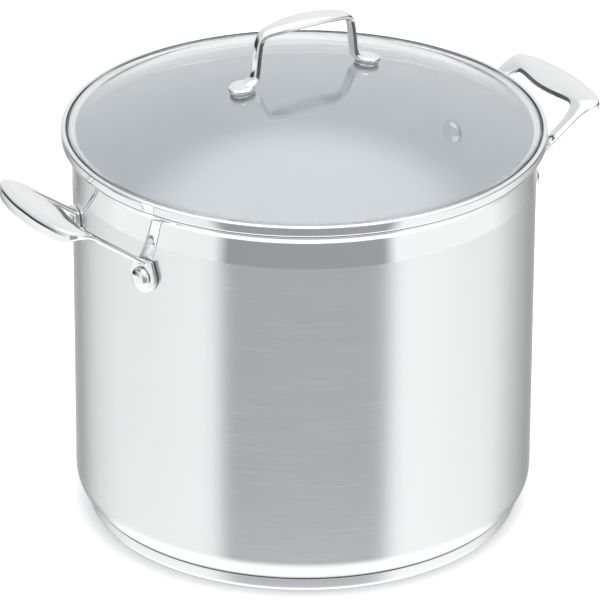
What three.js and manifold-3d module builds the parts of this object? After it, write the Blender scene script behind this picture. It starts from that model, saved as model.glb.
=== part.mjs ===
// Water bath canner: a tall straight-sided stainless steel pot with an encapsulated base, two riveted
// side handles, and a domed glass lid with a steel band and a strap handle.
// Millimetres, +Z up. The origin is the centre of the underside, and the side handles lie on the X axis.
import * as THREE from "three";
import { mergeVertices } from "three/addons/utils/BufferGeometryUtils.js";
import Module from "manifold-3d";

const wasm = await Module();
wasm.setup();

// Fineness of the round pieces, and the clearance between pieces that touch on the real pot.
const ROUND = 44;
const SMALL_ROUND = 16;
const GAP = 0.3;
const THROUGH = 20; // length of a drill that goes right through a sheet, a plate or the glass

// Pot body
const WALL_R = 131;
const SHEET = 0.9;
const UNDERSIDE_Z = 5.7;
const CORNER_R = 16.8;
const WALL_SEAM_Z = 152.8; // a ring of edges below the handles, which keeps the wall's faces short
const FLARE_Z = 218.6;
const FLARE_END = 118; // degrees round the arc that turns the wall out into the lip
const LIP_R = 135.7;
const LIP_Z = 225.4;

// Encapsulated base
const CAP_R = 123.9;
const CAP_TOP_Z = 7.9;
const CAP_SHEET = 0.8;
const CAP_EDGE_R = 3;

// Side handles, each centred on the X axis and held by two rivets
const RIVET_ANGLE = THREE.MathUtils.degToRad(16.9);
const RIVET_Z = 184;
const RIVET_HEAD_R = 6.2;
const RIVET_SHANK_R = 3;
const TAB_GAP = 0.6;
const TAB_THICK = 2.8;
const TAB_R = 8.9;
const TAB_TOP_Z = 194.2;
const LEG_THICK = 3.3;
const LEG_IN = 32.6; // distances from the X axis of a leg's two edges
const LEG_OUT = 41.2;
const LEG_SLOPE = THREE.MathUtils.degToRad(36);
const LEG_REF = new THREE.Vector2(150, 210.6); // a point on the top of the leg: radius, height
const GRIP_OUT = 181;
const GRIP_INNER_Z = 220.6;
const GRIP_OUTER_Z = 223.2;
const GRIP_DEPTH = 8.6;

// Glass of the lid: a spherical cap that ends in a flat flange inside the steel band
const GLASS_THICK = 3.2;
const APEX_Z = 264;
const FLANGE_Z = 231.1;
const FLANGE_R = 136.1;
const DOME_EDGE_R = 129;
const DOME_R = (DOME_EDGE_R ** 2 + (APEX_Z - FLANGE_Z) ** 2) / (2 * (APEX_Z - FLANGE_Z));
const GLASS_HOLE_R = 5.6;

// Steel band round the glass, with a ring below that drops inside the pot's mouth
const BAND_R = 137;
const BAND_SHEET = 0.6;
const BAND_INNER_R = 134.3;
const BAND_TOP_Z = 232;
const BAND_BOTTOM_Z = 225.7;
const HEM_TOP_Z = 227.6; // the lower leg is folded double, and the glass lies on the fold
const LOCATING_R = 129;
const LOCATING_Z = 221.4;

// Lid handle and its two fixings, which stand square to the dome
const FOOT_X = 40.8;
const FOOT_TILT = Math.asin(FOOT_X / DOME_R);
const PAD_R = 7.5;
const PAD_THICK = 2.5;
const GASKET_THICK = 0.9;
const BOSS_R = 4;
const STRAP_THICK = 3.4;
const SCREW_R = 1.7;
const THREAD_DEPTH = 3.7;

const FINISH = {
  satin: { color: 0xb9bcbf, roughness: 0.34, metalness: 1 },
  mirror: { color: 0xc9cbce, roughness: 0.1, metalness: 1 },
  cast: { color: 0xd2d3d4, roughness: 0.14, metalness: 1 },
  aluminium: { color: 0xb4b7ba, roughness: 0.5, metalness: 1 },
  glass: { color: 0xe8eef0, roughness: 0.03, metalness: 0, transparent: true, opacity: 0.3 },
  silicone: { color: 0xd9dcdc, roughness: 0.6, metalness: 0 },
};

const canner = new THREE.Group();

function addPart(name, geometry, finish) {
  const mesh = new THREE.Mesh(geometry, new THREE.MeshStandardMaterial(FINISH[finish]));
  mesh.name = name;
  canner.add(mesh);
}

// ---------- solids ----------

function toSolid(geometry) {
  const bare = geometry.clone();
  bare.deleteAttribute("normal");
  bare.deleteAttribute("uv");
  const merged = mergeVertices(bare, 1e-4);
  return new wasm.Manifold(
    new wasm.Mesh({
      numProp: 3,
      vertProperties: new Float32Array(merged.attributes.position.array),
      triVerts: new Uint32Array(merged.index.array),
    }),
  );
}

function toGeometry(solid) {
  const mesh = solid.simplify(0.02).getMesh();
  const geometry = new THREE.BufferGeometry();
  geometry.setAttribute("position", new THREE.BufferAttribute(mesh.vertProperties, 3));
  geometry.setIndex(new THREE.BufferAttribute(mesh.triVerts, 1));
  geometry.computeVertexNormals();
  return geometry;
}

// Turns a profile of [radius, height] points about Z. The profile runs anticlockwise round the material,
// which is upwards along its outer side, and it either starts and ends on the axis or closes on itself.
function revolve(profile, segments) {
  const first = profile[0];
  const closed = first[0] > 0 ? [...profile, first] : profile;
  const points = closed.map(([r, z]) => new THREE.Vector2(r, z));
  return new THREE.LatheGeometry(points, segments).rotateX(Math.PI / 2);
}

// Points along an arc of a profile, from one angle to another, in degrees.
function arc(centreR, centreZ, radius, from, to, steps) {
  return Array.from({ length: steps + 1 }, (_, i) => {
    const angle = THREE.MathUtils.degToRad(from + ((to - from) * i) / steps);
    return [centreR + radius * Math.cos(angle), centreZ + radius * Math.sin(angle)];
  });
}

// Skins a row of equal rings of points into one closed body with flat ends.
function loft(rings) {
  const count = rings[0].length;
  const positions = rings.flat().flatMap((p) => [p.x, p.y, p.z]);
  const index = [];
  for (let i = 0; i < rings.length - 1; i++) {
    for (let j = 0; j < count; j++) {
      const a = i * count + j;
      const b = i * count + ((j + 1) % count);
      index.push(a, b + count, b, a, a + count, b + count);
    }
  }
  const last = (rings.length - 1) * count;
  for (let j = 1; j < count - 1; j++) {
    index.push(0, j, j + 1, last, last + j + 1, last + j);
  }
  const geometry = new THREE.BufferGeometry();
  geometry.setAttribute("position", new THREE.Float32BufferAttribute(positions, 3));
  geometry.setIndex(index);
  return geometry;
}

// A round rod along Z, centred on the origin.
function rod(radius, length, segments) {
  return new THREE.CylinderGeometry(radius, radius, length, segments).rotateX(Math.PI / 2);
}

// ---------- pot ----------

// Both faces of the drawn sheet: the flat bottom, the corner, the straight wall and the flared lip.
function potFace(inset) {
  const r = WALL_R - inset;
  const flare = LIP_R - WALL_R;
  const cornerZ = UNDERSIDE_Z + CORNER_R;
  return [
    [0, UNDERSIDE_Z + inset],
    ...arc(WALL_R - CORNER_R, cornerZ, CORNER_R - inset, -90, 0, 5),
    [r, WALL_SEAM_Z],
    ...arc(r + flare + 1, FLARE_Z, flare + 1, 180, FLARE_END, 3),
  ];
}

function potBody() {
  const outside = potFace(0);
  const inside = potFace(SHEET);
  const lip = [
    [LIP_R, LIP_Z - 1.3],
    [LIP_R, LIP_Z - 0.9],
    [LIP_R - 0.3, LIP_Z - 0.35],
    [LIP_R - 1.1, LIP_Z],
  ];
  let solid = toSolid(revolve([...outside, ...lip, ...inside.reverse()], ROUND));
  for (const angle of rivetAngles()) {
    solid = solid.subtract(rivetHole(angle));
  }
  return toGeometry(solid);
}

// The aluminium disc fills the space between the pot's bottom and the cap.
function baseCore() {
  const centreR = WALL_R - CORNER_R;
  const floor = CAP_SHEET + GAP;
  const side = CAP_R - CAP_SHEET - GAP;
  return revolve([
    [0, floor],
    [side - CAP_EDGE_R + 0.8, floor],
    [side, floor + CAP_EDGE_R - 0.8],
    [side, UNDERSIDE_Z + 0.4],
    ...arc(centreR, UNDERSIDE_Z + CORNER_R, CORNER_R + GAP, -64, -90, 2),
    [0, UNDERSIDE_Z - GAP],
  ], ROUND);
}

function baseCap() {
  const edge = CAP_R - CAP_EDGE_R;
  return revolve([
    [0, 0],
    ...arc(edge, CAP_EDGE_R, CAP_EDGE_R, -90, 0, 3),
    [CAP_R, CAP_TOP_Z - 0.3],
    [CAP_R - 0.3, CAP_TOP_Z],
    [CAP_R - CAP_SHEET, CAP_TOP_Z],
    ...arc(edge, CAP_EDGE_R, CAP_EDGE_R - CAP_SHEET, 0, -90, 3),
    [0, CAP_SHEET],
  ], ROUND);
}

// ---------- side handles ----------

function rivetAngles() {
  return [RIVET_ANGLE, -RIVET_ANGLE, Math.PI - RIVET_ANGLE, Math.PI + RIVET_ANGLE];
}

// Lays a piece whose axis is Y along the radius at an angle round the pot, pointing outwards.
function rivetFrame(geometry, radius, angle) {
  return geometry.rotateZ(-Math.PI / 2).translate(radius, 0, RIVET_Z).rotateZ(angle);
}

function rivetHole(angle) {
  const radius = RIVET_SHANK_R + GAP;
  const hole = new THREE.CylinderGeometry(radius, radius, THROUGH, SMALL_ROUND);
  return toSolid(rivetFrame(hole, WALL_R, angle));
}

function rivet(angle) {
  const outerFace = TAB_GAP + TAB_THICK + GAP;
  const innerFace = -SHEET - 2.3 * GAP;
  const profile = [
    [0, innerFace - 2.2],
    [3.4, innerFace - 1.8],
    [RIVET_HEAD_R, innerFace - 0.5],
    [RIVET_HEAD_R, innerFace],
    [RIVET_SHANK_R, innerFace],
    [RIVET_SHANK_R, outerFace],
    [RIVET_HEAD_R, outerFace],
    [RIVET_HEAD_R, outerFace + 0.6],
    [4.9, outerFace + 2.3],
    [2.7, outerFace + 3.3],
    [0, outerFace + 3.6],
  ];
  const points = profile.map(([r, y]) => new THREE.Vector2(r, y));
  return rivetFrame(new THREE.LatheGeometry(points, SMALL_ROUND), WALL_R, angle);
}

// Foot of a leg: a plate with a round lower end, bent to the pot's wall and drilled for its rivet.
function tab(side) {
  const outline = new THREE.Shape();
  const arcCentre = RIVET_ANGLE * WALL_R;
  const top = TAB_TOP_Z - RIVET_Z;
  outline.moveTo(arcCentre + 6.2, top);
  outline.lineTo(arcCentre - 4.4, top);
  outline.quadraticCurveTo(arcCentre - 6.2, top - 0.6, arcCentre - TAB_R + 0.6, 3.2);
  outline.absarc(arcCentre, 0, TAB_R, Math.PI * 0.9, Math.PI * 2.06, false);
  outline.closePath();
  const plate = new THREE.ExtrudeGeometry(outline, {
    depth: TAB_THICK,
    bevelEnabled: false,
    curveSegments: 14,
  });
  const position = plate.attributes.position;
  for (let i = 0; i < position.count; i++) {
    const angle = position.getX(i) / WALL_R;
    const radius = WALL_R + TAB_GAP + position.getZ(i);
    const height = RIVET_Z + position.getY(i);
    position.setXYZ(i, radius * Math.cos(angle), radius * Math.sin(angle), height);
  }
  const solid = toSolid(plate).subtract(rivetHole(RIVET_ANGLE));
  return side > 0 ? solid : solid.mirror([0, 1, 0]);
}

function legTop(radius) {
  return LEG_REF.y + Math.tan(LEG_SLOPE) * (radius - LEG_REF.x);
}

// Half of the handle from the foot to the middle of the grip. Each station gives the inner edge and the
// outer edge of the top face, as [radius, distance from the X axis, height], and the depth at each edge.
function handleStations() {
  const leg = (r) => [[r + 0.6, LEG_IN, legTop(r)], [r, LEG_OUT, legTop(r)], LEG_THICK, LEG_THICK];
  return [
    leg(127.4),
    leg(136),
    leg(145),
    [[153.6, 31.8, legTop(153)], [153, LEG_OUT, legTop(153)], LEG_THICK, LEG_THICK],
    [[158.4, 30.4, 216.6], [160, LEG_OUT + 0.2, 217.8], LEG_THICK, LEG_THICK],
    [[161.2, 28, 219.2], [166.8, 42, 220.9], LEG_THICK, 4],
    [[162.2, 25.5, GRIP_INNER_Z - 0.2], [172, 41.2, GRIP_OUTER_Z - 1.1], 3.5, 5],
    [[162.2, 22.4, GRIP_INNER_Z], [175.4, 36.8, GRIP_OUTER_Z - 0.6], 3.7, 7],
    [[161.6, 17.2, GRIP_INNER_Z], [178.2, 28.8, GRIP_OUTER_Z - 0.3], 3.9, GRIP_DEPTH - 0.4],
    [[160.2, 8.8, GRIP_INNER_Z], [180.5, 14, GRIP_OUTER_Z - 0.1], 4, GRIP_DEPTH],
    [[159.6, 0, GRIP_INNER_Z], [GRIP_OUT, 0, GRIP_OUTER_Z], 4, GRIP_DEPTH],
  ];
}

// Section of the handle between its inner and outer edges: crowned on top, rolled down at the outside.
function handleRing(inner, outer, depthIn, depthOut) {
  const across = new THREE.Vector3().subVectors(outer, inner);
  const width = across.length();
  across.divideScalar(width);
  const roll = Math.min(3.2, depthOut * 0.42);
  const round = 1;
  const crown = width * 0.035;
  const section = [
    [0, -depthIn + round],
    [0, -round],
    [round, -0.1],
    [width * 0.35, crown],
    [width * 0.68, crown],
    [width - roll, -0.1],
    [width - roll * 0.3, -roll * 0.3],
    [width, -roll],
    [width, -depthOut + round],
    [width - round, -depthOut],
    [width * 0.62, -depthIn - (depthOut - depthIn) * 0.55],
    [round, -depthIn],
  ];
  return section.map(([a, b]) => inner.clone().addScaledVector(across, a).add(new THREE.Vector3(0, 0, b)));
}

function sideHandle(direction) {
  const half = handleStations();
  const mirrored = half.slice(0, -1).reverse().map(([inner, outer, depthIn, depthOut]) =>
    [[inner[0], -inner[1], inner[2]], [outer[0], -outer[1], outer[2]], depthIn, depthOut]);
  const stations = [...half, ...mirrored];
  const edge = (k) => new THREE.CatmullRomCurve3(
    stations.map((s) => new THREE.Vector3(...s[k])), false, "centripetal");
  const depths = new THREE.CatmullRomCurve3(
    stations.map((s, i) => new THREE.Vector3(s[2], s[3], i)), false, "centripetal");
  const inner = edge(0);
  const outer = edge(1);
  const steps = 2 * (stations.length - 1);
  const rings = Array.from({ length: steps + 1 }, (_, i) => {
    const t = i / steps;
    const depth = depths.getPoint(t);
    return handleRing(inner.getPoint(t), outer.getPoint(t), depth.x, depth.y);
  });
  const wall = toSolid(rod(WALL_R + TAB_GAP, 3 * LIP_Z, 2 * ROUND));
  const solid = toSolid(loft(rings)).subtract(wall).add(tab(1)).add(tab(-1));
  return toGeometry(solid).rotateZ(direction > 0 ? 0 : Math.PI);
}

// ---------- lid ----------

// One face of the glass at a distance below its top face, from the axis out to the flange's edge.
function glassFace(depth) {
  const centreZ = APEX_Z - DOME_R;
  const radius = DOME_R - depth;
  const edgeAngle = Math.asin((DOME_EDGE_R - 2) / DOME_R);
  const dome = Array.from({ length: 7 }, (_, i) => {
    const angle = (edgeAngle * i) / 6;
    return [radius * Math.sin(angle), centreZ + radius * Math.cos(angle)];
  });
  return [...dome, [DOME_EDGE_R + 1.2 - depth * 0.15, FLANGE_Z - depth], [FLANGE_R, FLANGE_Z - depth]];
}

function lidGlass() {
  const top = glassFace(0).reverse();
  const bottom = glassFace(GLASS_THICK);
  let solid = toSolid(revolve([...bottom, ...top], ROUND));
  for (const side of [1, -1]) {
    const hole = footFrame(rod(GLASS_HOLE_R, THROUGH, SMALL_ROUND), side);
    solid = solid.subtract(toSolid(hole));
  }
  return toGeometry(solid);
}

// The band is a channel that wraps the flange's edge; its lower leg rests on the lip and turns down
// into the locating ring.
function lidBand() {
  const channelTop = FLANGE_Z + GAP;
  return revolve([
    [LOCATING_R - BAND_SHEET, LOCATING_Z],
    [LOCATING_R, LOCATING_Z],
    [LOCATING_R, BAND_BOTTOM_Z - 0.6],
    [LOCATING_R + 0.6, BAND_BOTTOM_Z],
    [BAND_R - 1.2, BAND_BOTTOM_Z],
    [BAND_R - 0.35, BAND_BOTTOM_Z + 0.35],
    [BAND_R, BAND_BOTTOM_Z + 1.2],
    [BAND_R, BAND_TOP_Z - 1.5],
    [BAND_R - 0.4, BAND_TOP_Z - 0.6],
    [BAND_R - 1.3, BAND_TOP_Z - 0.1],
    [BAND_INNER_R + 0.3, BAND_TOP_Z],
    [BAND_INNER_R, BAND_TOP_Z - 0.3],
    [BAND_INNER_R, channelTop],
    [FLANGE_R + GAP, channelTop],
    [FLANGE_R + GAP, HEM_TOP_Z],
    [LOCATING_R - BAND_SHEET, HEM_TOP_Z],
  ], ROUND);
}

// Moves a piece built round Z, with 0 at the top of the glass, to the foot on one side of the lid.
function footFrame(geometry, side) {
  const centreZ = APEX_Z - DOME_R;
  return geometry.translate(0, 0, DOME_R).rotateY(side * FOOT_TILT).translate(0, 0, centreZ);
}

// The strap's middle line in the XZ plane, from the left pad up, across and down to the right pad.
function strapLine() {
  const half = [
    [-40, 263.6],
    [-36.4, 264.3],
    [-33.4, 266.2],
    [-32, 271],
    [-31, 280],
    [-29.6, 288],
    [-26.2, 292.3],
    [-18, 293.9],
    [-9, 294.7],
    [0, 295],
  ];
  const right = half.slice(0, -1).reverse().map(([x, z]) => [-x, z]);
  return new THREE.CatmullRomCurve3(
    [...half, ...right].map(([x, z]) => new THREE.Vector3(x, 0, z)), false, "centripetal");
}

// Half width of the strap: wide on the pads, narrow on the legs, and a broad leaf shape over the grip.
function strapHalfWidth(x, z) {
  const lift = THREE.MathUtils.smoothstep(z, 264, 270);
  const leaf = Math.max(0, 1 - (x / 30) ** 2) * THREE.MathUtils.smoothstep(z, 284, 294);
  return 4.6 - 1.3 * lift + 4.5 * leaf;
}

// The strap is skinned along its line, trimmed flat where it meets the pads, and joined to them.
function lidHandle() {
  const line = strapLine();
  const thick = STRAP_THICK / 2;
  const steps = 34;
  const rings = Array.from({ length: steps + 1 }, (_, i) => {
    const t = i / steps;
    const centre = line.getPoint(t);
    const along = line.getTangent(t);
    const out = new THREE.Vector3(-along.z, 0, along.x);
    const half = strapHalfWidth(centre.x, centre.z);
    const crown = half * 0.22;
    const section = [
      [-half, -thick + 0.5],
      [-half, 0.3],
      [-half * 0.62, thick - 0.4 + crown * 0.5],
      [0, thick - 0.4 + crown],
      [half * 0.62, thick - 0.4 + crown * 0.5],
      [half, 0.3],
      [half, -thick + 0.5],
      [half - 0.5, -thick],
      [-half + 0.5, -thick],
    ];
    return section.map(([y, n]) => new THREE.Vector3(centre.x, y, centre.z).addScaledVector(out, n));
  });
  const padBottom = GASKET_THICK + 2 * GAP;
  const padTop = padBottom + PAD_THICK;
  const bossEnd = -GLASS_THICK;
  let solid = toSolid(loft(rings));
  for (const side of [1, -1]) {
    const pad = revolve([
      [0, bossEnd],
      [BOSS_R, bossEnd],
      [BOSS_R, padBottom],
      [PAD_R - 0.4, padBottom],
      [PAD_R, padBottom + 0.5],
      [PAD_R, padTop - 0.8],
      [PAD_R - 1, padTop - 0.1],
      [0, padTop + 0.2],
    ], 2 * SMALL_ROUND);
    const thread = rod(SCREW_R + GAP, 2 * THREAD_DEPTH, SMALL_ROUND).translate(0, 0, bossEnd);
    const below = rod(PAD_R + 4.5, THROUGH, SMALL_ROUND).translate(0, 0, padBottom - THROUGH / 2);
    solid = solid.subtract(toSolid(footFrame(below, side)));
    solid = solid.add(toSolid(footFrame(pad, side)));
    solid = solid.subtract(toSolid(footFrame(thread, side)));
  }
  return toGeometry(solid);
}

// Upper silicone piece: a washer under the pad with a bush that lines the hole in the glass.
function upperGasket(side) {
  const bore = BOSS_R + GAP;
  return footFrame(revolve([
    [bore, -GLASS_THICK + GAP],
    [GLASS_HOLE_R - GAP, -GLASS_THICK + GAP],
    [GLASS_HOLE_R - GAP, GAP],
    [PAD_R - 0.5, GAP],
    [PAD_R - 0.5, GAP + GASKET_THICK],
    [bore, GAP + GASKET_THICK],
  ], SMALL_ROUND), side);
}

function washer(side, top, thick, radius) {
  const bore = SCREW_R + GAP;
  return footFrame(revolve([
    [bore, top - thick],
    [radius, top - thick],
    [radius, top],
    [bore, top],
  ], SMALL_ROUND), side);
}

function screw(side, top) {
  return footFrame(revolve([
    [0, top - 2.6],
    [2.4, top - 2.4],
    [4.2, top - 1.2],
    [4.2, top],
    [SCREW_R, top],
    [SCREW_R, -0.4],
    [0, -0.4],
  ], SMALL_ROUND), side);
}

// ---------- assembly ----------

addPart("pot_body", potBody(), "satin");
addPart("base_core", baseCore(), "aluminium");
addPart("base_cap", baseCap(), "mirror");
addPart("side_handle_right", sideHandle(1), "cast");
addPart("side_handle_left", sideHandle(-1), "cast");
const RIVET_NAMES = ["rivet_right_rear", "rivet_right_front", "rivet_left_rear", "rivet_left_front"];
rivetAngles().forEach((angle, i) => addPart(RIVET_NAMES[i], rivet(angle), "cast"));

addPart("lid_glass", lidGlass(), "glass");
addPart("lid_band", lidBand(), "mirror");
addPart("lid_handle", lidHandle(), "cast");
for (const [side, name] of [[1, "right"], [-1, "left"]]) {
  const sealTop = -GLASS_THICK - 2 * GAP;
  const washerTop = sealTop - 1.1 - GAP;
  const headTop = washerTop - 0.9 - GAP;
  addPart(`gasket_${name}`, upperGasket(side), "silicone");
  addPart(`seal_washer_${name}`, washer(side, sealTop, 1.1, 7.2), "silicone");
  addPart(`steel_washer_${name}`, washer(side, washerTop, 0.9, 6.6), "mirror");
  addPart(`lid_screw_${name}`, screw(side, headTop), "mirror");
}

export default canner;
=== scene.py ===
import math

import bmesh
import bpy
from mathutils import Matrix, Vector


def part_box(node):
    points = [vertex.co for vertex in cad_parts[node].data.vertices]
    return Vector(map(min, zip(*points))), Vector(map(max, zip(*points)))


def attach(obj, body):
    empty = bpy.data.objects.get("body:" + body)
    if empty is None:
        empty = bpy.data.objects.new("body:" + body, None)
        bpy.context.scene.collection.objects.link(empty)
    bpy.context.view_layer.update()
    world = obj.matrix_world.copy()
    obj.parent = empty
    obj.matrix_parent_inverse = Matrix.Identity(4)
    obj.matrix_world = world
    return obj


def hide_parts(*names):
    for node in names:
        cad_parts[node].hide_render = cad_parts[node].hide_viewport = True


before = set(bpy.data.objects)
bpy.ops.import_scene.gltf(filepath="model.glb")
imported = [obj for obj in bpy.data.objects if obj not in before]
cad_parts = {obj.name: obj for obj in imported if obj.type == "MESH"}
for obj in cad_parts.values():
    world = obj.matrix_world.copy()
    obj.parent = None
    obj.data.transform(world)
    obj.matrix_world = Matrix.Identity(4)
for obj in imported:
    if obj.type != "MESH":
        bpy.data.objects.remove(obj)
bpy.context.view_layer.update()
scene = bpy.context.scene
MM = 0.001

# ---------------------------------------------------------------- sizes in millimetres, as in the CAD part

ROUND = 256          # segments of the large round pieces
WALL_R = 131.0
SHEET = 0.9
UNDERSIDE_Z = 5.7
CORNER_R = 16.8
FLARE_Z = 218.6
LIP_R = 135.7
LIP_Z = 225.4
FLARE_END = 118      # degrees round the arc that turns the wall out into the lip
POLISH_Z = 204.0     # the wall is polished from here up to the lip

CAP_R = 123.9
CAP_TOP_Z = 7.9
CAP_SHEET = 0.8
CAP_EDGE_R = 3.0

RIVET_ANGLE = math.radians(16.9)
RIVET_Z = 184.0
RIVET_HEAD_R = 6.2
RIVET_SHANK_R = 3.0
TAB_GAP = 0.6
TAB_THICK = 2.8
TAB_R = 8.9
TAB_TOP_Z = 194.2
GAP = 0.3

APEX_Z = 264.0
FLANGE_Z = 231.1
FLANGE_R = 136.1
DOME_EDGE_R = 129.0
GLASS_THICK = 3.2
DOME_R = (DOME_EDGE_R ** 2 + (APEX_Z - FLANGE_Z) ** 2) / (2 * (APEX_Z - FLANGE_Z))
GLASS_HOLE_R = 5.6

BAND_R = 137.0
BAND_SHEET = 0.6
BAND_INNER_R = 134.3
BAND_TOP_Z = 232.0
BAND_BOTTOM_Z = 225.7
HEM_TOP_Z = 227.6    # the lower leg is folded double, and the glass lies on the fold
LOCATING_R = 129.0
LOCATING_Z = 221.4

FOOT_X = 40.8
FOOT_TILT = math.asin(FOOT_X / DOME_R)
PAD_R = 7.5
PAD_THICK = 2.5
GASKET_THICK = 0.9
BOSS_R = 4.0
STRAP_THICK = 3.4
PAD_HALF_WIDTH = 4.6     # of the strap on its pads; the legs are narrower and the grip wider by these
LEG_NARROWING = 1.3
GRIP_WIDENING = 4.5
SEAL_THICK = 1.1
SEAL_R = 7.2
WASHER_THICK = 0.9
WASHER_R = 6.6
SCREW_R = 1.7

LEG_THICK = 3.3
LEG_IN = 32.6
LEG_OUT = 41.2
LEG_SLOPE = math.tan(math.radians(36))
LEG_REF_R = 150.0
LEG_REF_Z = 210.6
GRIP_OUT = 181.0
GRIP_INNER_Z = 220.6
GRIP_OUTER_Z = 223.2
GRIP_DEPTH = 8.6

# ---------------------------------------------------------------- camera, whose bearing the studio shares

CAMERA_AZIMUTH = math.radians(-31.5)
CAMERA_ELEVATION = math.radians(25.97)
CAMERA_DISTANCE = 3.2
CAMERA_LENS = 336.35
CAMERA_ROLL = math.radians(0.25)
LOOK_RIGHT = -0.0021
LOOK_Z = 0.12163

RIGHT = Vector((math.cos(CAMERA_AZIMUTH), math.sin(CAMERA_AZIMUTH), 0))
TOWARD = Vector((math.sin(CAMERA_AZIMUTH), -math.cos(CAMERA_AZIMUTH), 0))


# ---------------------------------------------------------------- node helpers

class Nodes:
    """A short way to build a node tree."""

    def __init__(self, tree):
        self.tree = tree
        tree.nodes.clear()

    def add(self, kind, **settings):
        node = self.tree.nodes.new(kind)
        for key, value in settings.items():
            setattr(node, key, value)
        return node

    def link(self, source, target):
        self.tree.links.new(source, target)

    def feed(self, target, value):
        if hasattr(value, "is_output"):
            self.link(value, target)
        else:
            target.default_value = value

    def math(self, operation, a, b=0.0, c=0.0):
        node = self.add("ShaderNodeMath", operation=operation)
        for socket, value in zip(node.inputs, (a, b, c)):
            self.feed(socket, value)
        return node.outputs[0]

    def span(self, value, low, high, to_low, to_high):
        node = self.add("ShaderNodeMapRange", interpolation_type="SMOOTHSTEP")
        for socket, v in zip(node.inputs, (value, low, high, to_low, to_high)):
            self.feed(socket, v)
        return node.outputs[0]

    def noise(self, vector, scale, detail=3.0, rough=0.5):
        node = self.add("ShaderNodeTexNoise")
        self.link(vector, node.inputs["Vector"])
        node.inputs["Scale"].default_value = scale
        node.inputs["Detail"].default_value = detail
        node.inputs["Roughness"].default_value = rough
        return node.outputs["Fac"]

    def stretch(self, vector, scale):
        node = self.add("ShaderNodeMapping")
        self.link(vector, node.inputs["Vector"])
        node.inputs["Scale"].default_value = scale
        return node.outputs[0]

    def ramp(self, value, stops, mode="LINEAR"):
        node = self.add("ShaderNodeValToRGB")
        node.color_ramp.interpolation = mode
        elements = node.color_ramp.elements
        while len(elements) < len(stops):
            elements.new(0.5)
        for element, (position, colour) in zip(elements, stops):
            element.position = position
            element.color = colour if len(colour) == 4 else (*colour, 1)
        self.link(value, node.inputs[0])
        return node.outputs[0]

    def blend(self, factor, a, b):
        node = self.add("ShaderNodeMix", data_type="RGBA")
        self.feed(node.inputs["Factor"], factor)
        for socket, value in ((node.inputs[6], a), (node.inputs[7], b)):
            self.feed(socket, value)
        return node.outputs[2]


def grey(value, tint=(1.0, 1.0, 1.0)):
    return tuple(value * t for t in tint) + (1.0,)


# ---------------------------------------------------------------- materials

def turned_coordinates(n):
    """Object coordinates in which a fine noise makes rings round the Z axis, on walls and on flat faces."""
    position = n.add("ShaderNodeTexCoord").outputs["Object"]
    split = n.add("ShaderNodeSeparateXYZ")
    n.link(position, split.inputs[0])
    x, y, z = split.outputs
    radius = n.math("SQRT", n.math("ADD", n.math("MULTIPLY", x, x), n.math("MULTIPLY", y, y)))
    across = n.math("ADD", z, n.math("MULTIPLY", radius, 1.13))
    join = n.add("ShaderNodeCombineXYZ")
    for socket, value in zip(join.inputs, (x, y, across)):
        n.link(value, socket)
    return position, join.outputs[0]


def steel(name, colour, rough, grain=0.0, grain_bump=0.0, wave=0.0, smudge=0.04, anisotropic=0.0,
          metallic=1.0):
    """Stainless steel. grain is how much the turned lines vary the roughness, wave a slow unevenness."""
    material = bpy.data.materials.new(name)
    material.use_nodes = True
    n = Nodes(material.node_tree)
    position, turned = turned_coordinates(n)
    fine = n.noise(n.stretch(turned, (26, 26, 5200)), 1.0, 4.0, 0.65)
    coarse = n.noise(n.stretch(turned, (9, 9, 900)), 1.0, 3.0, 0.6)
    lines = n.math("ADD", n.math("MULTIPLY", fine, 0.6), n.math("MULTIPLY", coarse, 0.4))
    cloud = n.noise(position, 17.0, 4.0, 0.6)
    marks = n.noise(n.stretch(position, (60, 60, 60)), 1.0, 5.0, 0.7)
    shade = n.math("ADD", n.math("MULTIPLY", n.math("SUBTRACT", lines, 0.5), grain * 0.9),
                   n.math("MULTIPLY", n.math("SUBTRACT", cloud, 0.5), 0.05))
    dark = tuple(c * 0.86 for c in colour)
    light = tuple(min(1.0, c * 1.1) for c in colour)
    tone = n.ramp(n.math("ADD", 0.5, shade), [(0.2, dark), (0.5, colour), (0.8, light)])
    by_lines = n.math("MULTIPLY", n.math("SUBTRACT", lines, 0.5), grain)
    by_marks = n.math("MULTIPLY", n.math("SUBTRACT", marks, 0.5), smudge)
    roughness = n.math("ADD", rough, n.math("ADD", by_lines, by_marks))
    shader = n.add("ShaderNodeBsdfPrincipled")
    shader.inputs["Metallic"].default_value = metallic
    n.link(tone, shader.inputs["Base Color"])
    n.link(roughness, shader.inputs["Roughness"])
    swell = n.math("MULTIPLY", n.noise(position, 38.0, 2.0), wave)
    height = n.math("ADD", n.math("MULTIPLY", lines, grain_bump), swell)
    bump = n.add("ShaderNodeBump")
    bump.inputs["Distance"].default_value = 0.001
    bump.inputs["Strength"].default_value = 1.0
    n.link(height, bump.inputs["Height"])
    n.link(bump.outputs[0], shader.inputs["Normal"])
    if anisotropic:
        shader.inputs["Anisotropic"].default_value = anisotropic
        shader.inputs["Anisotropic Rotation"].default_value = 0.25
        tangent = n.add("ShaderNodeTangent", direction_type="RADIAL", axis="Z")
        n.link(tangent.outputs[0], shader.inputs["Tangent"])
    out = n.add("ShaderNodeOutputMaterial")
    n.link(shader.outputs[0], out.inputs["Surface"])
    return material


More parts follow.
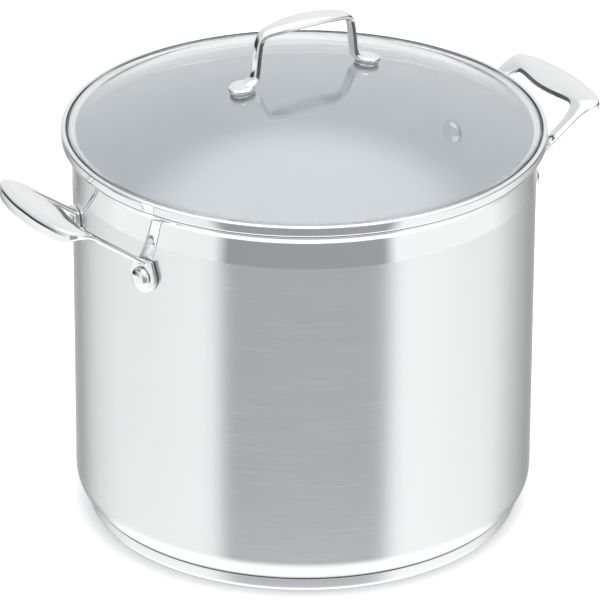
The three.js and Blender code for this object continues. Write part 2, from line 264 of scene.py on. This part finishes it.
def glass(name):
    material = bpy.data.materials.new(name)
    material.use_nodes = True
    n = Nodes(material.node_tree)
    position = n.add("ShaderNodeTexCoord").outputs["Object"]
    smears = n.noise(n.stretch(position, (22, 34, 22)), 1.0, 5.0, 0.65)
    shader = n.add("ShaderNodeBsdfPrincipled")
    shader.inputs["Transmission Weight"].default_value = 1.0
    shader.inputs["IOR"].default_value = 1.5
    tint = n.ramp(smears, [(0.3, (0.955, 0.97, 0.98)), (0.7, (0.975, 0.985, 0.99))])
    n.link(tint, shader.inputs["Base Color"])
    n.link(n.span(smears, 0.45, 0.8, 0.0, 0.03), shader.inputs["Roughness"])
    bump = n.add("ShaderNodeBump")
    bump.inputs["Distance"].default_value = 0.001
    n.link(n.math("MULTIPLY", n.noise(position, 14.0, 2.0), 0.12), bump.inputs["Height"])
    n.link(bump.outputs[0], shader.inputs["Normal"])
    out = n.add("ShaderNodeOutputMaterial")
    n.link(shader.outputs[0], out.inputs["Surface"])
    return material


def silicone(name):
    material = bpy.data.materials.new(name)
    material.use_nodes = True
    n = Nodes(material.node_tree)
    position = n.add("ShaderNodeTexCoord").outputs["Object"]
    pores = n.noise(position, 900.0, 3.0)
    cloud = n.noise(position, 120.0, 2.0)
    shader = n.add("ShaderNodeBsdfPrincipled")
    tint = n.ramp(cloud, [(0.3, (0.62, 0.64, 0.65)), (0.7, (0.72, 0.74, 0.75))])
    n.link(tint, shader.inputs["Base Color"])
    n.link(n.span(pores, 0.3, 0.7, 0.42, 0.58), shader.inputs["Roughness"])
    shader.inputs["Transmission Weight"].default_value = 0.35
    bump = n.add("ShaderNodeBump")
    bump.inputs["Distance"].default_value = 0.0001
    n.link(pores, bump.inputs["Height"])
    n.link(bump.outputs[0], shader.inputs["Normal"])
    out = n.add("ShaderNodeOutputMaterial")
    n.link(shader.outputs[0], out.inputs["Surface"])
    return material


SATIN = steel("satin_steel", (0.80, 0.805, 0.81), 0.25, grain=0.15, grain_bump=0.03, anisotropic=0.75)
INSIDE = steel("satin_steel_inside", (0.90, 0.92, 0.94), 0.30, grain=0.10, grain_bump=0.02, anisotropic=0.5,
               metallic=0.35)
POLISHED = steel("polished_steel", (0.80, 0.805, 0.81), 0.05, grain=0.02, grain_bump=0.001, wave=0.01,
                 smudge=0.03)
BASE = steel("base_steel", (0.86, 0.865, 0.87), 0.30, grain=0.10, grain_bump=0.01, anisotropic=0.5)
BAND = steel("band_steel", (0.80, 0.805, 0.81), 0.09, grain=0.05, grain_bump=0.003)
# Painted shade: a near-black steel put in the groove between lid band and lip, and on the handles' undersides
# and inner faces.
PAINTED_SHADE = steel("painted_shade_steel", (0.16, 0.163, 0.168), 0.28, wave=0.02, smudge=0.08)
CAST = steel("cast_steel", (0.83, 0.832, 0.835), 0.085, grain=0.0, wave=0.035, smudge=0.05)
ALUMINIUM = steel("aluminium", (0.72, 0.73, 0.74), 0.4, grain=0.2, grain_bump=0.03)
GLASS = glass("lid_glass")
SILICONE = silicone("silicone")


# ---------------------------------------------------------------- mesh helpers

def add_mesh(name, vertices, faces, materials, zone=None, sharp=40):
    """A smooth-shaded piece from points in millimetres. zone picks a material index from a face's centre."""
    mesh = bpy.data.meshes.new(name)
    mesh.from_pydata([Vector(v) * MM for v in vertices], [], faces)
    for material in materials:
        mesh.materials.append(material)
    work = bmesh.new()
    work.from_mesh(mesh)
    bmesh.ops.remove_doubles(work, verts=work.verts, dist=1e-7)
    bmesh.ops.recalc_face_normals(work, faces=work.faces)
    work.to_mesh(mesh)
    work.free()
    for polygon in mesh.polygons:
        polygon.use_smooth = True
        if zone:
            polygon.material_index = zone(polygon.center / MM, polygon.normal)
    mesh.set_sharp_from_angle(angle=math.radians(sharp))
    piece = bpy.data.objects.new(name, mesh)
    scene.collection.objects.link(piece)
    return piece


def revolve_points(profile, segments):
    """Vertices and faces of a profile of (radius, height) turned about Z."""
    vertices = []
    for i in range(segments):
        angle = 2 * math.pi * i / segments
        vertices += [(r * math.cos(angle), r * math.sin(angle), z) for r, z in profile]
    count = len(profile)
    closed = profile[0][0] > 0
    faces = []
    for i in range(segments):
        here, there = i * count, ((i + 1) % segments) * count
        for j in range(count if closed else count - 1):
            k = (j + 1) % count
            faces.append((here + j, there + j, there + k, here + k))
    return vertices, faces


def revolve(name, profile, materials, segments=ROUND, place=None, **options):
    vertices, faces = revolve_points(profile, segments)
    if place:
        vertices = [place @ Vector(v) for v in vertices]
    return add_mesh(name, vertices, faces, materials, **options)


def arc(centre_r, centre_z, radius, start, end, steps):
    """Points along an arc of a profile, between two angles in degrees."""
    points = []
    for i in range(steps + 1):
        angle = math.radians(start + (end - start) * i / steps)
        points.append((centre_r + radius * math.cos(angle), centre_z + radius * math.sin(angle)))
    return points


def rounded(points, radius, steps=3):
    """A closed profile with each corner replaced by a small round."""
    result = []
    count = len(points)
    for i in range(count):
        corner = Vector(points[i])
        before = Vector(points[i - 1]) - corner
        after = Vector(points[(i + 1) % count]) - corner
        if points[i][0] <= 0 or before.length < 1e-6 or after.length < 1e-6:
            result.append(tuple(corner))
            continue
        reach = min(radius, before.length * 0.45, after.length * 0.45)
        start = corner + before.normalized() * reach
        end = corner + after.normalized() * reach
        for k in range(steps + 1):
            t = k / steps
            result.append(tuple(start * (1 - t) ** 2 + corner * 2 * t * (1 - t) + end * t ** 2))
    return result


def between(p0, p1, p2, p3, u):
    """The Catmull-Rom point between p1 and p2, all of them tuples of one length."""
    return tuple(
        0.5 * (2 * b + (c - a) * u + (2 * a - 5 * b + 4 * c - d) * u * u + (3 * b - a - 3 * c + d) * u ** 3)
        for a, b, c, d in zip(p0, p1, p2, p3))


def catmull(points, t):
    """A point on the smooth curve through equal-length tuples, with t from 0 to 1."""
    count = len(points) - 1
    place = min(max(t, 0.0), 1.0) * count
    i = min(int(place), count - 1)
    u = place - i
    p1, p2 = points[i], points[i + 1]
    p0 = points[i - 1] if i else tuple(2 * a - b for a, b in zip(p1, p2))
    p3 = points[i + 2] if i + 2 <= count else tuple(2 * b - a for a, b in zip(p1, p2))
    return between(p0, p1, p2, p3, u)


def loft_faces(rings):
    count = len(rings[0])
    faces = []
    for i in range(len(rings) - 1):
        for j in range(count):
            k = (j + 1) % count
            faces.append((i * count + j, i * count + k, (i + 1) * count + k, (i + 1) * count + j))
    last = (len(rings) - 1) * count
    faces.append(tuple(range(count)))
    faces.append(tuple(last + j for j in range(count)))
    return [p for ring in rings for p in ring], faces


def cut(piece, tool, operation):
    """Applies an exact boolean between two pieces and drops the tool."""
    modifier = piece.modifiers.new("cut", "BOOLEAN")
    modifier.operation = operation
    modifier.solver = "EXACT"
    modifier.object = tool
    graph = bpy.context.evaluated_depsgraph_get()
    mesh = bpy.data.meshes.new_from_object(piece.evaluated_get(graph))
    piece.modifiers.clear()
    piece.data = mesh
    bpy.data.objects.remove(tool)


def merge(piece, other):
    """Adds another closed shell to a piece."""
    work = bmesh.new()
    work.from_mesh(piece.data)
    work.from_mesh(other.data)
    work.to_mesh(piece.data)
    work.free()
    bpy.data.objects.remove(other)


def shade_smooth(piece, sharp):
    for polygon in piece.data.polygons:
        polygon.use_smooth = True
    piece.data.set_sharp_from_angle(angle=math.radians(sharp))


def darken(piece, is_dark):
    """Gives the painted shade, a near-black steel, to the faces that is_dark(centre in millimetres, normal)
    picks.
    """
    piece.data.materials.append(PAINTED_SHADE)
    for polygon in piece.data.polygons:
        if is_dark(polygon.center / MM, polygon.normal):
            polygon.material_index = 1


def settle(piece, body, slot, *nodes):
    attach(piece, body)
    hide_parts(*nodes)


# ---------------------------------------------------------------- pot

def pot_face(inset):
    r = WALL_R - inset
    flare = LIP_R - WALL_R
    return ([(0, UNDERSIDE_Z + inset), (60, UNDERSIDE_Z + inset)]
            + arc(WALL_R - CORNER_R, UNDERSIDE_Z + CORNER_R, CORNER_R - inset, -90, 0, 16)
            + [(r, 80), (r, 140), (r, POLISH_Z - 0.4), (r, POLISH_Z)]
            + arc(r + flare + 1, FLARE_Z, flare + 1, 180, FLARE_END, 10))


def pot_body():
    lip = [(LIP_R, LIP_Z - 1.3)] + arc(LIP_R - 1.0, LIP_Z - 1.0, 1.0, 0, 90, 8)
    profile = pot_face(0) + lip + pot_face(SHEET)[::-1]
    inner_r = WALL_R - SHEET * 0.5

    def zone(centre, normal):
        outward = normal.x * centre.x + normal.y * centre.y > 0
        radius = math.hypot(centre.x, centre.y)
        # Painted shade: the top of the lip, in the groove under the lid band, gets the near-black steel.
        if centre.z > LIP_Z - 0.2:
            return 3
        if centre.z > FLARE_Z + 1 or (radius > inner_r and outward and centre.z > POLISH_Z):
            return 1
        if radius > inner_r and outward:
            return 0
        return 2 if centre.z > UNDERSIDE_Z + SHEET * 0.5 and not (outward and normal.z < -0.1) else 0

    piece = revolve("pot_shell", profile, [SATIN, POLISHED, INSIDE, PAINTED_SHADE], zone=zone, sharp=60)
    settle(piece, "pot", "satin_steel", "pot_body")


def base_cap():
    edge = CAP_R - CAP_EDGE_R
    profile = ([(0, 0), (60, 0)] + arc(edge, CAP_EDGE_R, CAP_EDGE_R, -90, 0, 10)
               + [(CAP_R, CAP_TOP_Z - 0.4)] + arc(CAP_R - 0.35, CAP_TOP_Z - 0.35, 0.35, 0, 90, 4)
               + [(CAP_R - CAP_SHEET, CAP_TOP_Z)]
               + arc(edge, CAP_EDGE_R, CAP_EDGE_R - CAP_SHEET, 0, -90, 6) + [(0, CAP_SHEET)])
    piece = revolve("base_dish", profile, [BASE], sharp=60)
    settle(piece, "pot", "polished_steel", "base_cap")


# ---------------------------------------------------------------- side handles and rivets

def leg_top(radius):
    return LEG_REF_Z + LEG_SLOPE * (radius - LEG_REF_R)


def handle_stations():
    """Half of a handle, foot to middle: the top face's inner and outer edge points, and the depth at each."""
    def leg(r):
        return (r + 0.6, LEG_IN, leg_top(r), r, LEG_OUT, leg_top(r), LEG_THICK, LEG_THICK)

    z_in, z_out = GRIP_INNER_Z, GRIP_OUTER_Z
    return [
        leg(127.4), leg(136), leg(145),
        (153.6, 31.8, leg_top(153), 153.0, LEG_OUT, leg_top(153), LEG_THICK, LEG_THICK),
        (158.4, 30.4, 216.6, 160.0, LEG_OUT + 0.2, 217.8, LEG_THICK, LEG_THICK),
        (161.2, 28.0, 219.2, 166.8, 42.0, 220.9, LEG_THICK, 4.0),
        (162.2, 25.5, z_in - 0.2, 172.0, 41.2, z_out - 1.1, 3.5, 5.0),
        (162.2, 22.4, z_in, 175.4, 36.8, z_out - 0.6, 3.7, 7.0),
        (161.6, 17.2, z_in, 178.2, 28.8, z_out - 0.3, 3.9, GRIP_DEPTH - 0.4),
        (160.2, 8.8, z_in, 180.5, 14.0, z_out - 0.1, 4.0, GRIP_DEPTH),
        (159.6, 0.0, z_in, GRIP_OUT, 0.0, z_out, 4.0, GRIP_DEPTH),
    ]


def handle_section(inner, outer, depth_in, depth_out):
    """A closed ring across the handle: crowned on top, rolled down at the outside, a little hollow below."""
    across = outer - inner
    width = across.length
    across = across / width
    roll = min(3.2, depth_out * 0.42)
    crown = width * 0.035
    outline = [
        (0, -depth_in + 1), (0, -1), (1, -0.1), (width * 0.35, crown), (width * 0.68, crown),
        (width - roll, -0.1), (width - roll * 0.3, -roll * 0.3), (width, -roll), (width, -depth_out + 1),
        (width - 1, -depth_out), (width * 0.62, -depth_in - (depth_out - depth_in) * 0.55), (1, -depth_in)]
    ring = []
    count = len(outline)
    for i in range(count):
        window = [outline[(i + k) % count] for k in (-1, 0, 1, 2)]
        ring += [between(*window, step / 4) for step in range(4)]
    return [inner + across * x + Vector((0, 0, y)) for x, y in ring]


def tab_mesh(name, side):
    """The foot of a leg: a plate with a round lower end, bent to the wall."""
    centre = RIVET_ANGLE * WALL_R
    top = TAB_TOP_Z - RIVET_Z
    outline = [(6.2, top), (0, top + 0.3), (-4.4, top), (-6.2, top - 0.8), (-8.1, 3.4)]
    outline += [(TAB_R * math.cos(a), TAB_R * math.sin(a))
                for a in (math.radians(166 + 206 * i / 40) for i in range(41))]
    inset = 0.7
    layers = [(0.0, 0.0), (TAB_THICK - inset, 0.0), (TAB_THICK - inset * 0.3, inset * 0.3),
              (TAB_THICK, inset)]
    rings = []
    for height, shrink in layers:
        ring = []
        for x, y in outline:
            p = Vector((x, y))
            p = p - p.normalized() * shrink
            angle = (centre + p.x) / WALL_R * side
            r = WALL_R + TAB_GAP + height
            ring.append(Vector((r * math.cos(angle), r * math.sin(angle), RIVET_Z + p.y)))
        rings.append(ring)
    vertices, faces = loft_faces(rings)
    return add_mesh(name, vertices, faces, [CAST])


def side_handle(name, direction):
    half = handle_stations()
    other = [(a, -b, c, d, -e, f, g, h) for a, b, c, d, e, f, g, h in half[:-1][::-1]]
    stations = half + other
    rings = []
    steps = 12 * (len(stations) - 1)
    for i in range(steps + 1):
        s = catmull(stations, i / steps)
        rings.append(handle_section(Vector(s[0:3]), Vector(s[3:6]), s[6], s[7]))
    vertices, faces = loft_faces(rings)
    piece = add_mesh(name, vertices, faces, [CAST])
    reach = WALL_R + TAB_GAP
    wall = revolve("wall_tool", [(0, 100), (reach, 100), (reach, 300), (0, 300)], [CAST])
    cut(piece, wall, "DIFFERENCE")
    for side in (1, -1):
        cut(piece, tab_mesh("tab_tool", side), "UNION")

    # Painted shade: the grip's inner face and the handle's underside get the near-black steel, where shade
    # falls.
    def is_dark(centre, normal):
        inward = centre.z > 214 and abs(centre.y) < 30 and normal.x < -0.75 and normal.z < 0.2
        under = centre.z > 213 and normal.z < -0.55
        return inward or under

    darken(piece, is_dark)
    shade_smooth(piece, 38)
    if direction < 0:
        piece.data.transform(Matrix.Rotation(math.pi, 4, "Z"))
    return piece


def rivet(name, angle):
    outer = TAB_GAP + TAB_THICK + GAP
    inner = -SHEET - 2.3 * GAP
    head = RIVET_HEAD_R
    shank = RIVET_SHANK_R
    profile = ([(0, inner - 2.2), (1.8, inner - 2.1), (3.4, inner - 1.8), (5.2, inner - 1.1),
                (head, inner - 0.5), (head, inner), (shank, inner), (shank, outer), (head, outer),
                (head, outer + 0.5)]
               + [(head * math.cos(a) ** 0.8, outer + 0.5 + 3.1 * math.sin(a))
                  for a in (math.radians(90 * i / 12) for i in range(1, 12))]
               + [(0, outer + 3.6)])
    place = (Matrix.Rotation(angle, 4, "Z") @ Matrix.Translation((WALL_R, 0, RIVET_Z))
             @ Matrix.Rotation(math.pi / 2, 4, "Y"))
    return revolve(name, profile, [CAST], segments=48, place=place)


# ---------------------------------------------------------------- lid

def glass_face(depth):
    centre_z = APEX_Z - DOME_R
    radius = DOME_R - depth
    edge_angle = math.asin((DOME_EDGE_R - 2) / DOME_R)
    dome = [(radius * math.sin(edge_angle * i / 40), centre_z + radius * math.cos(edge_angle * i / 40))
            for i in range(41)]
    edge_r, edge_z = dome[-1]
    flat_r = DOME_EDGE_R + 1.6 - depth * 0.15
    bend = [(edge_r + (flat_r - edge_r) * t,
             edge_z + (FLANGE_Z - depth - edge_z) * (1 - (1 - t) ** 1.6)) for t in (0.35, 0.7, 1.0)]
    return dome + bend + [(FLANGE_R - 0.5, FLANGE_Z - depth)]


def foot_place(side):
    """Moves a piece built round Z, with 0 at the top of the glass, to the foot on one side of the lid."""
    return (Matrix.Translation((0, 0, APEX_Z - DOME_R)) @ Matrix.Rotation(side * FOOT_TILT, 4, "Y")
            @ Matrix.Translation((0, 0, DOME_R)))


def lid_glass():
    top = glass_face(0)[::-1]
    bottom = glass_face(GLASS_THICK)
    edge = [(FLANGE_R, FLANGE_Z - GLASS_THICK + 0.5), (FLANGE_R, FLANGE_Z - 0.5)]
    piece = revolve("lid_pane", bottom + edge + top, [GLASS], sharp=80)
    for side in (1, -1):
        tool = revolve("hole_tool", [(0, -20), (GLASS_HOLE_R, -20), (GLASS_HOLE_R, 20), (0, 20)], [GLASS],
                       segments=64, place=foot_place(side))
        cut(piece, tool, "DIFFERENCE")
    shade_smooth(piece, 50)
    settle(piece, "lid", "lid_glass", "lid_glass")


def lid_band():
    channel_top = FLANGE_Z + GAP
    ring_inner_r = LOCATING_R - BAND_SHEET
    profile = ([(ring_inner_r, LOCATING_Z), (LOCATING_R, LOCATING_Z), (LOCATING_R, BAND_BOTTOM_Z - 0.6),
                (LOCATING_R + 0.6, BAND_BOTTOM_Z)]
               + arc(BAND_R - 1.2, BAND_BOTTOM_Z + 1.2, 1.2, -90, 0, 8)
               + arc(BAND_R - 1.3, BAND_TOP_Z - 1.4, 1.3, 0, 85, 8)
               + [(BAND_INNER_R + 0.3, BAND_TOP_Z), (BAND_INNER_R, BAND_TOP_Z - 0.3),
                  (BAND_INNER_R, channel_top), (FLANGE_R + GAP, channel_top), (FLANGE_R + GAP, HEM_TOP_Z),
                  (ring_inner_r, HEM_TOP_Z)])

    def zone(centre, normal):
        if math.hypot(centre.x, centre.y) < LOCATING_R + 0.1:
            return 2
        # Painted shade: the band's underside, in the groove over the pot's lip, gets the near-black steel.
        return 1 if centre.z < BAND_BOTTOM_Z + 0.3 else 0

    piece = revolve("lid_rim_band", profile, [BAND, PAINTED_SHADE, INSIDE], zone=zone, sharp=50)
    settle(piece, "lid", "lid_band_steel", "lid_band")


def strap_points():
    """The strap's middle line in the XZ plane, from inside the left pad up, across and down to the right."""
    half = [(-43.5, 261.2), (-40.0, 262.6), (-36.6, 264.2), (-33.4, 266.4), (-32.0, 271.0), (-31.0, 280.0),
            (-29.6, 288.0), (-26.2, 292.3), (-18.0, 293.9), (-9.0, 294.7), (0.0, 295.0)]
    return half + [(-x, z) for x, z in half[:-1][::-1]]


def smoothstep(x, low, high):
    t = min(1.0, max(0.0, (x - low) / (high - low)))
    return t * t * (3 - 2 * t)


def lid_handle():
    points = strap_points()
    lengths = [0.0]
    samples = [catmull(points, i / 600) for i in range(601)]
    for a, b in zip(samples, samples[1:]):
        lengths.append(lengths[-1] + math.dist(a, b))
    steps = 150
    rings = []
    k = 0
    for i in range(steps + 1):
        target = lengths[-1] * i / steps
        while k < 599 and lengths[k + 1] < target:
            k += 1
        u = (target - lengths[k]) / (lengths[k + 1] - lengths[k])
        x = samples[k][0] + (samples[k + 1][0] - samples[k][0]) * u
        z = samples[k][1] + (samples[k + 1][1] - samples[k][1]) * u
        lo, hi = samples[max(0, k - 4)], samples[min(600, k + 5)]
        along = Vector((hi[0] - lo[0], 0, hi[1] - lo[1])).normalized()
        out = Vector((-along.z, 0, along.x))
        leaf = max(0.0, 1 - (x / 30) ** 2) * smoothstep(z, 284, 294)
        half = PAD_HALF_WIDTH - LEG_NARROWING * smoothstep(z, 264, 270) + GRIP_WIDENING * leaf
        thick = STRAP_THICK / 2
        crown = half * 0.22
        ring = []
        for j in range(40):
            a = 2 * math.pi * j / 40
            c, s = math.cos(a), math.sin(a)
            y = half * math.copysign(abs(c) ** 0.75, c)
            if s >= 0:
                height = (thick - 0.4 + crown) * s ** 0.8
            else:
                height = -thick * (-s) ** 0.45
            ring.append(Vector((x, y, z)) + out * height)
        rings.append(ring)
    vertices, faces = loft_faces(rings)
    piece = add_mesh("lid_strap", vertices, faces, [CAST])
    pad_bottom = GASKET_THICK + 2 * GAP
    pad_top = pad_bottom + PAD_THICK
    pads = []
    for side in (1, -1):
        block = [(0, pad_bottom - 20), (12, pad_bottom - 20), (12, pad_bottom), (0, pad_bottom)]
        below = revolve("below_tool", block, [CAST], segments=48, place=foot_place(side))
        cut(piece, below, "DIFFERENCE")
        pad = [(0, -GLASS_THICK), (BOSS_R, -GLASS_THICK), (BOSS_R, pad_bottom), (PAD_R - 0.5, pad_bottom),
               (PAD_R - 0.1, pad_bottom + 0.15), (PAD_R, pad_bottom + 0.6), (PAD_R, pad_top - 1.0),
               (PAD_R - 0.25, pad_top - 0.55), (PAD_R - 0.8, pad_top - 0.2), (PAD_R - 1.6, pad_top - 0.02),
               (3, pad_top + 0.15), (0, pad_top + 0.2)]
        pads.append(revolve("pad_tool", pad, [CAST], segments=64, place=foot_place(side)))
    for pad in pads:
        merge(piece, pad)

    # Painted shade: the strap's flanks and the grip's underside get the near-black steel, where shade falls.
    def is_dark(centre, normal):
        flank = 268 < centre.z < 289 and abs(normal.y) > 0.86
        under = centre.z > 284 and abs(centre.x) > 15 and normal.z < -0.5
        return flank or under

    darken(piece, is_dark)
    shade_smooth(piece, 35)
    settle(piece, "lid", "cast_steel", "lid_handle")


def foot_pieces(word, side):
    place = foot_place(side)
    gasket = rounded([(BOSS_R + GAP, -GLASS_THICK + GAP), (GLASS_HOLE_R - GAP, -GLASS_THICK + GAP),
                      (GLASS_HOLE_R - GAP, GAP), (PAD_R - 0.5, GAP), (PAD_R - 0.5, GAP + GASKET_THICK),
                      (BOSS_R + GAP, GAP + GASKET_THICK)], 0.25)
    settle(revolve(f"gasket_ring_{word}", gasket, [SILICONE], segments=64, place=place),
           "lid", "silicone", f"gasket_{word}")
    seal_top = -GLASS_THICK - 2 * GAP
    washer_top = seal_top - SEAL_THICK - GAP
    head_top = washer_top - WASHER_THICK - GAP
    bore = SCREW_R + GAP
    for kind, top, thick, radius, material, slot, node in (
            ("seal_ring", seal_top, SEAL_THICK, SEAL_R, SILICONE, "silicone", "seal_washer"),
            ("washer_ring", washer_top, WASHER_THICK, WASHER_R, POLISHED, "polished_steel", "steel_washer")):
        profile = rounded([(bore, top - thick), (radius, top - thick), (radius, top), (bore, top)], 0.2)
        settle(revolve(f"{kind}_{word}", profile, [material], segments=64, place=place),
               "lid", slot, f"{node}_{word}")
    screw = [(0, head_top - 1.3), (1.1, head_top - 1.3), (1.15, head_top - 2.55), (2.4, head_top - 2.45),
             (3.6, head_top - 1.9), (4.15, head_top - 1.0), (4.2, head_top - 0.1), (4.1, head_top),
             (SCREW_R, head_top), (SCREW_R, -0.6), (SCREW_R - 0.2, -0.4), (0, -0.4)]
    settle(revolve(f"screw_{word}", screw, [POLISHED], segments=48, place=place),
           "lid", "polished_steel", f"lid_screw_{word}")


# ---------------------------------------------------------------- the object

pot_body()
base_cap()
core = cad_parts["base_core"]
for slot in core.material_slots:
    slot.material = ALUMINIUM
for word, direction in (("right", 1), ("left", -1)):
    settle(side_handle(f"grip_{word}", direction), "pot", "cast_steel", f"side_handle_{word}")
for name, angle in (("right_rear", RIVET_ANGLE), ("right_front", -RIVET_ANGLE),
                    ("left_rear", math.pi - RIVET_ANGLE), ("left_front", math.pi + RIVET_ANGLE)):
    settle(rivet(f"rivet_head_{name}", angle), "pot", "polished_steel", f"rivet_{name}")
lid_glass()
lid_band()
lid_handle()
for word, side in (("right", 1), ("left", -1)):
    foot_pieces(word, side)


# ---------------------------------------------------------------- floor, light and camera

def floor():
    far = 40000
    piece = add_mesh("floor", [(-far, -far, 0), (far, -far, 0), (far, far, 0), (-far, far, 0)],
                     [(0, 1, 2, 3)], [])
    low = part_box("base_cap")[0][2]
    piece.location.z = low - 0.0002
    material = bpy.data.materials.new("floor")
    material.use_nodes = True
    n = Nodes(material.node_tree)
    position = n.add("ShaderNodeTexCoord").outputs["Object"]
    shader = n.add("ShaderNodeBsdfPrincipled")
    n.link(n.ramp(n.noise(position, 3.0, 3.0), [(0.3, (0.93, 0.93, 0.93)), (0.7, (0.95, 0.95, 0.95))]),
           shader.inputs["Base Color"])
    shader.inputs["Roughness"].default_value = 0.9
    shader.inputs["Specular IOR Level"].default_value = 0.1
    out = n.add("ShaderNodeOutputMaterial")
    n.link(shader.outputs[0], out.inputs["Surface"])
    piece.data.materials.append(material)
    piece.visible_glossy = False
    piece.visible_transmission = False


def turn(degrees):
    """A bearing round the studio, measured from the camera and positive to its right, as a ramp position."""
    return 0.5 + degrees / 360


def studio():
    """White walls with grey and dark gaps between them, so that the steel has something to reflect.

    low, horizon and high are rings of wall at three heights; below them all is white and overhead is a lamp.
    """
    world = bpy.data.worlds.new("studio")
    scene.world = world
    world.use_nodes = True
    n = Nodes(world.node_tree)
    direction = n.add("ShaderNodeTexCoord").outputs["Generated"]

    def along(vector):
        dot = n.add("ShaderNodeVectorMath", operation="DOT_PRODUCT")
        n.link(direction, dot.inputs[0])
        dot.inputs[1].default_value = vector
        return dot.outputs["Value"]

    bearing = n.math("ARCTAN2", along(RIGHT), along(TOWARD))
    place = n.math("ADD", 0.5, n.math("DIVIDE", bearing, 2 * math.pi))
    height = along((0, 0, 1))
    strip = [(turn(-45.5), grey(1.06)), (turn(-38), grey(0.40, (0.95, 1, 1.035))),
             (turn(40), grey(0.42, (0.95, 1, 1.035))), (turn(47), grey(1.14))]
    low = n.ramp(place, [
        (turn(-180), grey(0.85)), (turn(-152), grey(0.36)), (turn(-128), grey(0.9)), (turn(-105), grey(1.1)),
        *strip,
        (turn(108), grey(1.12)), (turn(134), grey(0.62)), (turn(156), grey(0.36)), (turn(180), grey(0.85))])
    horizon = n.ramp(place, [
        (turn(-180), grey(0.95)), (turn(-150), grey(0.8)), (turn(-132), grey(0.06)), (turn(-98), grey(0.04)),
        (turn(-78), grey(0.5)), (turn(-56), grey(1.0)), *strip,
        (turn(62), grey(1.05)), (turn(82), grey(0.5)), (turn(102), grey(0.04)), (turn(134), grey(0.06)),
        (turn(152), grey(0.8)), (turn(180), grey(0.95))])
    high = n.ramp(place, [
        (turn(-180), grey(1.0)), (turn(-120), grey(0.78, (0.97, 1, 1.03))), (turn(-40), grey(0.95)),
        (turn(60), grey(1.08)), (turn(180), grey(1.0))])
    wall = n.blend(n.span(height, -0.70, -0.60, 0.0, 1.0), grey(1.4), low)
    wall = n.blend(n.span(height, -0.28, -0.20, 0.0, 1.0), wall, horizon)
    mixed = n.blend(n.span(height, 0.02, 0.40, 0.0, 1.0), wall, high)
    top = n.blend(n.span(height, 0.70, 0.9, 0.0, 1.0), mixed, grey(3.0))
    seen = n.add("ShaderNodeLightPath").outputs["Is Camera Ray"]
    colour = n.blend(seen, top, grey(1.0))
    background = n.add("ShaderNodeBackground")
    n.link(colour, background.inputs["Color"])
    background.inputs["Strength"].default_value = 1.0
    out = n.add("ShaderNodeOutputWorld")
    n.link(background.outputs[0], out.inputs["Surface"])


def camera():
    back = TOWARD * math.cos(CAMERA_ELEVATION) + Vector((0, 0, math.sin(CAMERA_ELEVATION)))
    up = -TOWARD * math.sin(CAMERA_ELEVATION) + Vector((0, 0, math.cos(CAMERA_ELEVATION)))
    x_axis = RIGHT * math.cos(CAMERA_ROLL) + up * math.sin(CAMERA_ROLL)
    y_axis = -RIGHT * math.sin(CAMERA_ROLL) + up * math.cos(CAMERA_ROLL)
    data = bpy.data.cameras.new("camera")
    data.lens = CAMERA_LENS
    data.sensor_width = 36
    data.clip_end = 100
    eye = bpy.data.objects.new("camera", data)
    eye.matrix_world = Matrix((x_axis, y_axis, back)).transposed().to_4x4()
    eye.location = RIGHT * LOOK_RIGHT + Vector((0, 0, LOOK_Z)) + back * CAMERA_DISTANCE
    scene.collection.objects.link(eye)
    scene.camera = eye


floor()
studio()
camera()
scene.view_settings.view_transform = "Standard"
scene.cycles.max_bounces = 24
scene.cycles.glossy_bounces = 16
scene.cycles.transmission_bounces = 16
